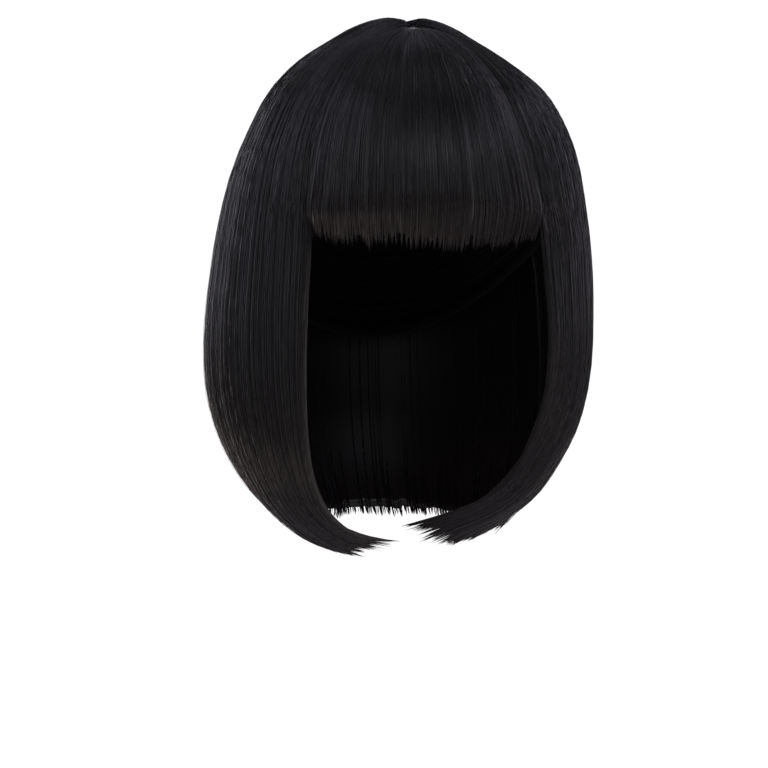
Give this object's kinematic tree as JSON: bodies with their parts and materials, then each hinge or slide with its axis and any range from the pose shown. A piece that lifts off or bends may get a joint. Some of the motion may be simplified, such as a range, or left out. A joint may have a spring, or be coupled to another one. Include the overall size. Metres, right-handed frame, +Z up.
{
  "type": "bob wig",
  "caption": "Straight bob wig with a full fringe over the brow, a short parting, and ends that curve in under the chin, sewn on an open cap.",
  "frame": {"origin": "the point inside the cap that rests on the top of the head", "axes": "+Z up, the face looks along -Y, and +X is the wearer's left"},
  "size_m": [0.2024, 0.219, 0.2774],
  "materials": {
    "cap": "matte stretch net",
    "hair": "black synthetic fibre with a soft sheen"
  },
  "bodies": {
    "root": {"wig_cap": "cap", "fringe": "hair", "hair_right": "hair", "hair_left": "hair", "hair_back": "hair"}
  },
  "joints": []
}
